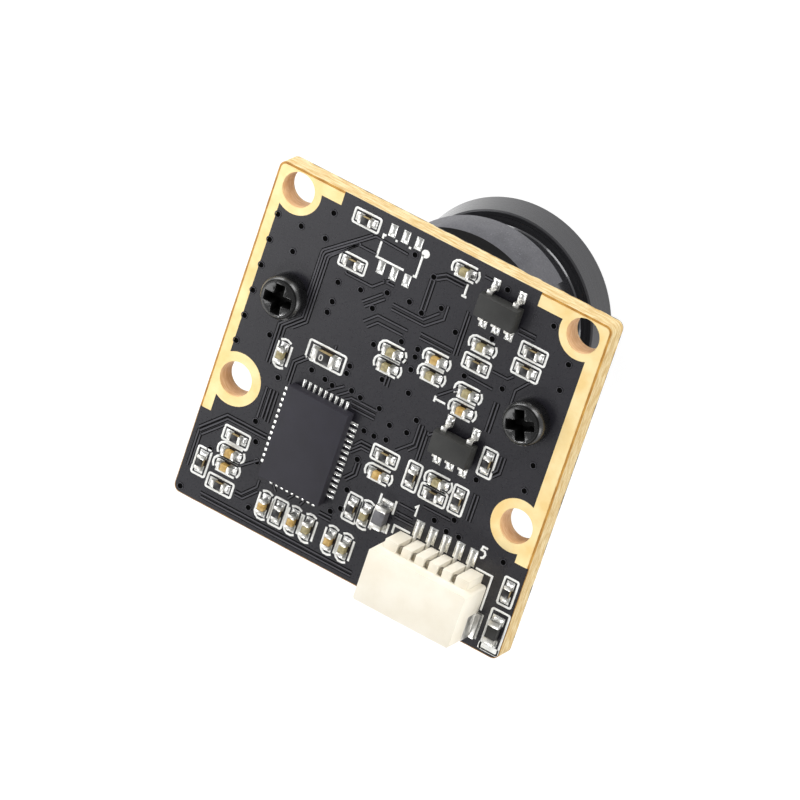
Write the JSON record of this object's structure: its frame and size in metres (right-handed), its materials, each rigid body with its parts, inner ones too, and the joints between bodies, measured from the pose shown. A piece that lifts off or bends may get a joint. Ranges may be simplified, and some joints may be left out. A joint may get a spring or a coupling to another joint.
{
  "type": "camera module",
  "caption": "Small square board camera module with a lens in a moulded mount in front and chips and a side entry wire connector on its rear face.",
  "frame": {"origin": "centre of the four mounting holes on the board's rear, component carrying face, on the optical axis", "axes": "+Z out of the rear face, so the lens looks along -Z; +X along the board's long edge and +Y towards the edge away from the connector"},
  "size_m": [0.0244, 0.0237, 0.0169],
  "materials": {
    "solder_mask": "satin black solder mask over FR4",
    "gold_plating": "matte immersion gold",
    "tinned_copper": "bright tin",
    "black_epoxy": "matte moulded epoxy",
    "cream_nylon": "satin",
    "black_oxide": "gloss black",
    "mount_plastic": "fine textured matte",
    "sensor_ceramic": "matte",
    "cover_glass": "polished",
    "filter_glass": "polished, faint blue green",
    "black_anodised": "satin black anodised",
    "optical_glass": "polished and coated",
    "resistor_glaze": "gloss black glaze",
    "bead_ferrite": "matte dark grey",
    "tan_ceramic": "satin",
    "grey_ceramic": "satin"
  },
  "bodies": {
    "root": {"capacitor_1": "grey_ceramic", "capacitor_10": "tan_ceramic", "capacitor_11": "grey_ceramic", "capacitor_12": "grey_ceramic", "capacitor_13": "tan_ceramic", "capacitor_14": "tan_ceramic", "capacitor_15": "tan_ceramic", "capacitor_16": "tan_ceramic", "capacitor_17": "grey_ceramic", "capacitor_18": "tan_ceramic", "capacitor_19": "grey_ceramic", "capacitor_2": "grey_ceramic", "capacitor_3": "tan_ceramic", "capacitor_4": "grey_ceramic", "capacitor_5": "grey_ceramic", "capacitor_6": "tan_ceramic", "capacitor_7": "grey_ceramic", "capacitor_8": "grey_ceramic", "capacitor_9": "grey_ceramic", "chip_terminals": "tinned_copper", "circuit_board": "solder_mask", "connector_contacts": "tinned_copper", "connector_housing": "cream_nylon", "connector_tabs": "tinned_copper", "controller_chip": "black_epoxy", "diode": "black_epoxy", "ferrite_bead": "bead_ferrite", "front_lens": "optical_glass", "ground_plating": "gold_plating", "image_sensor": "sensor_ceramic", "ir_filter": "filter_glass", "lens_barrel": "black_anodised", "lens_mount": "mount_plastic", "lens_spacer": "black_anodised", "lower_regulator": "black_epoxy", "middle_lens": "optical_glass", "mount_screws": "black_oxide", "rear_lens": "optical_glass", "regulator_leads": "tinned_copper", "resistor_1": "resistor_glaze", "resistor_10": "resistor_glaze", "resistor_11": "resistor_glaze", "resistor_12": "resistor_glaze", "resistor_13": "resistor_glaze", "resistor_14": "resistor_glaze", "resistor_15": "resistor_glaze", "resistor_16": "resistor_glaze", "resistor_2": "resistor_glaze", "resistor_3": "resistor_glaze", "resistor_4": "resistor_glaze", "resistor_5": "resistor_glaze", "resistor_6": "resistor_glaze", "resistor_7": "resistor_glaze", "resistor_8": "resistor_glaze", "resistor_9": "resistor_glaze", "retaining_ring": "black_anodised", "sensor_cover_glass": "cover_glass", "solder_lands": "tinned_copper", "upper_regulator": "black_epoxy", "zero_ohm_link": "resistor_glaze"}
  },
  "joints": []
}
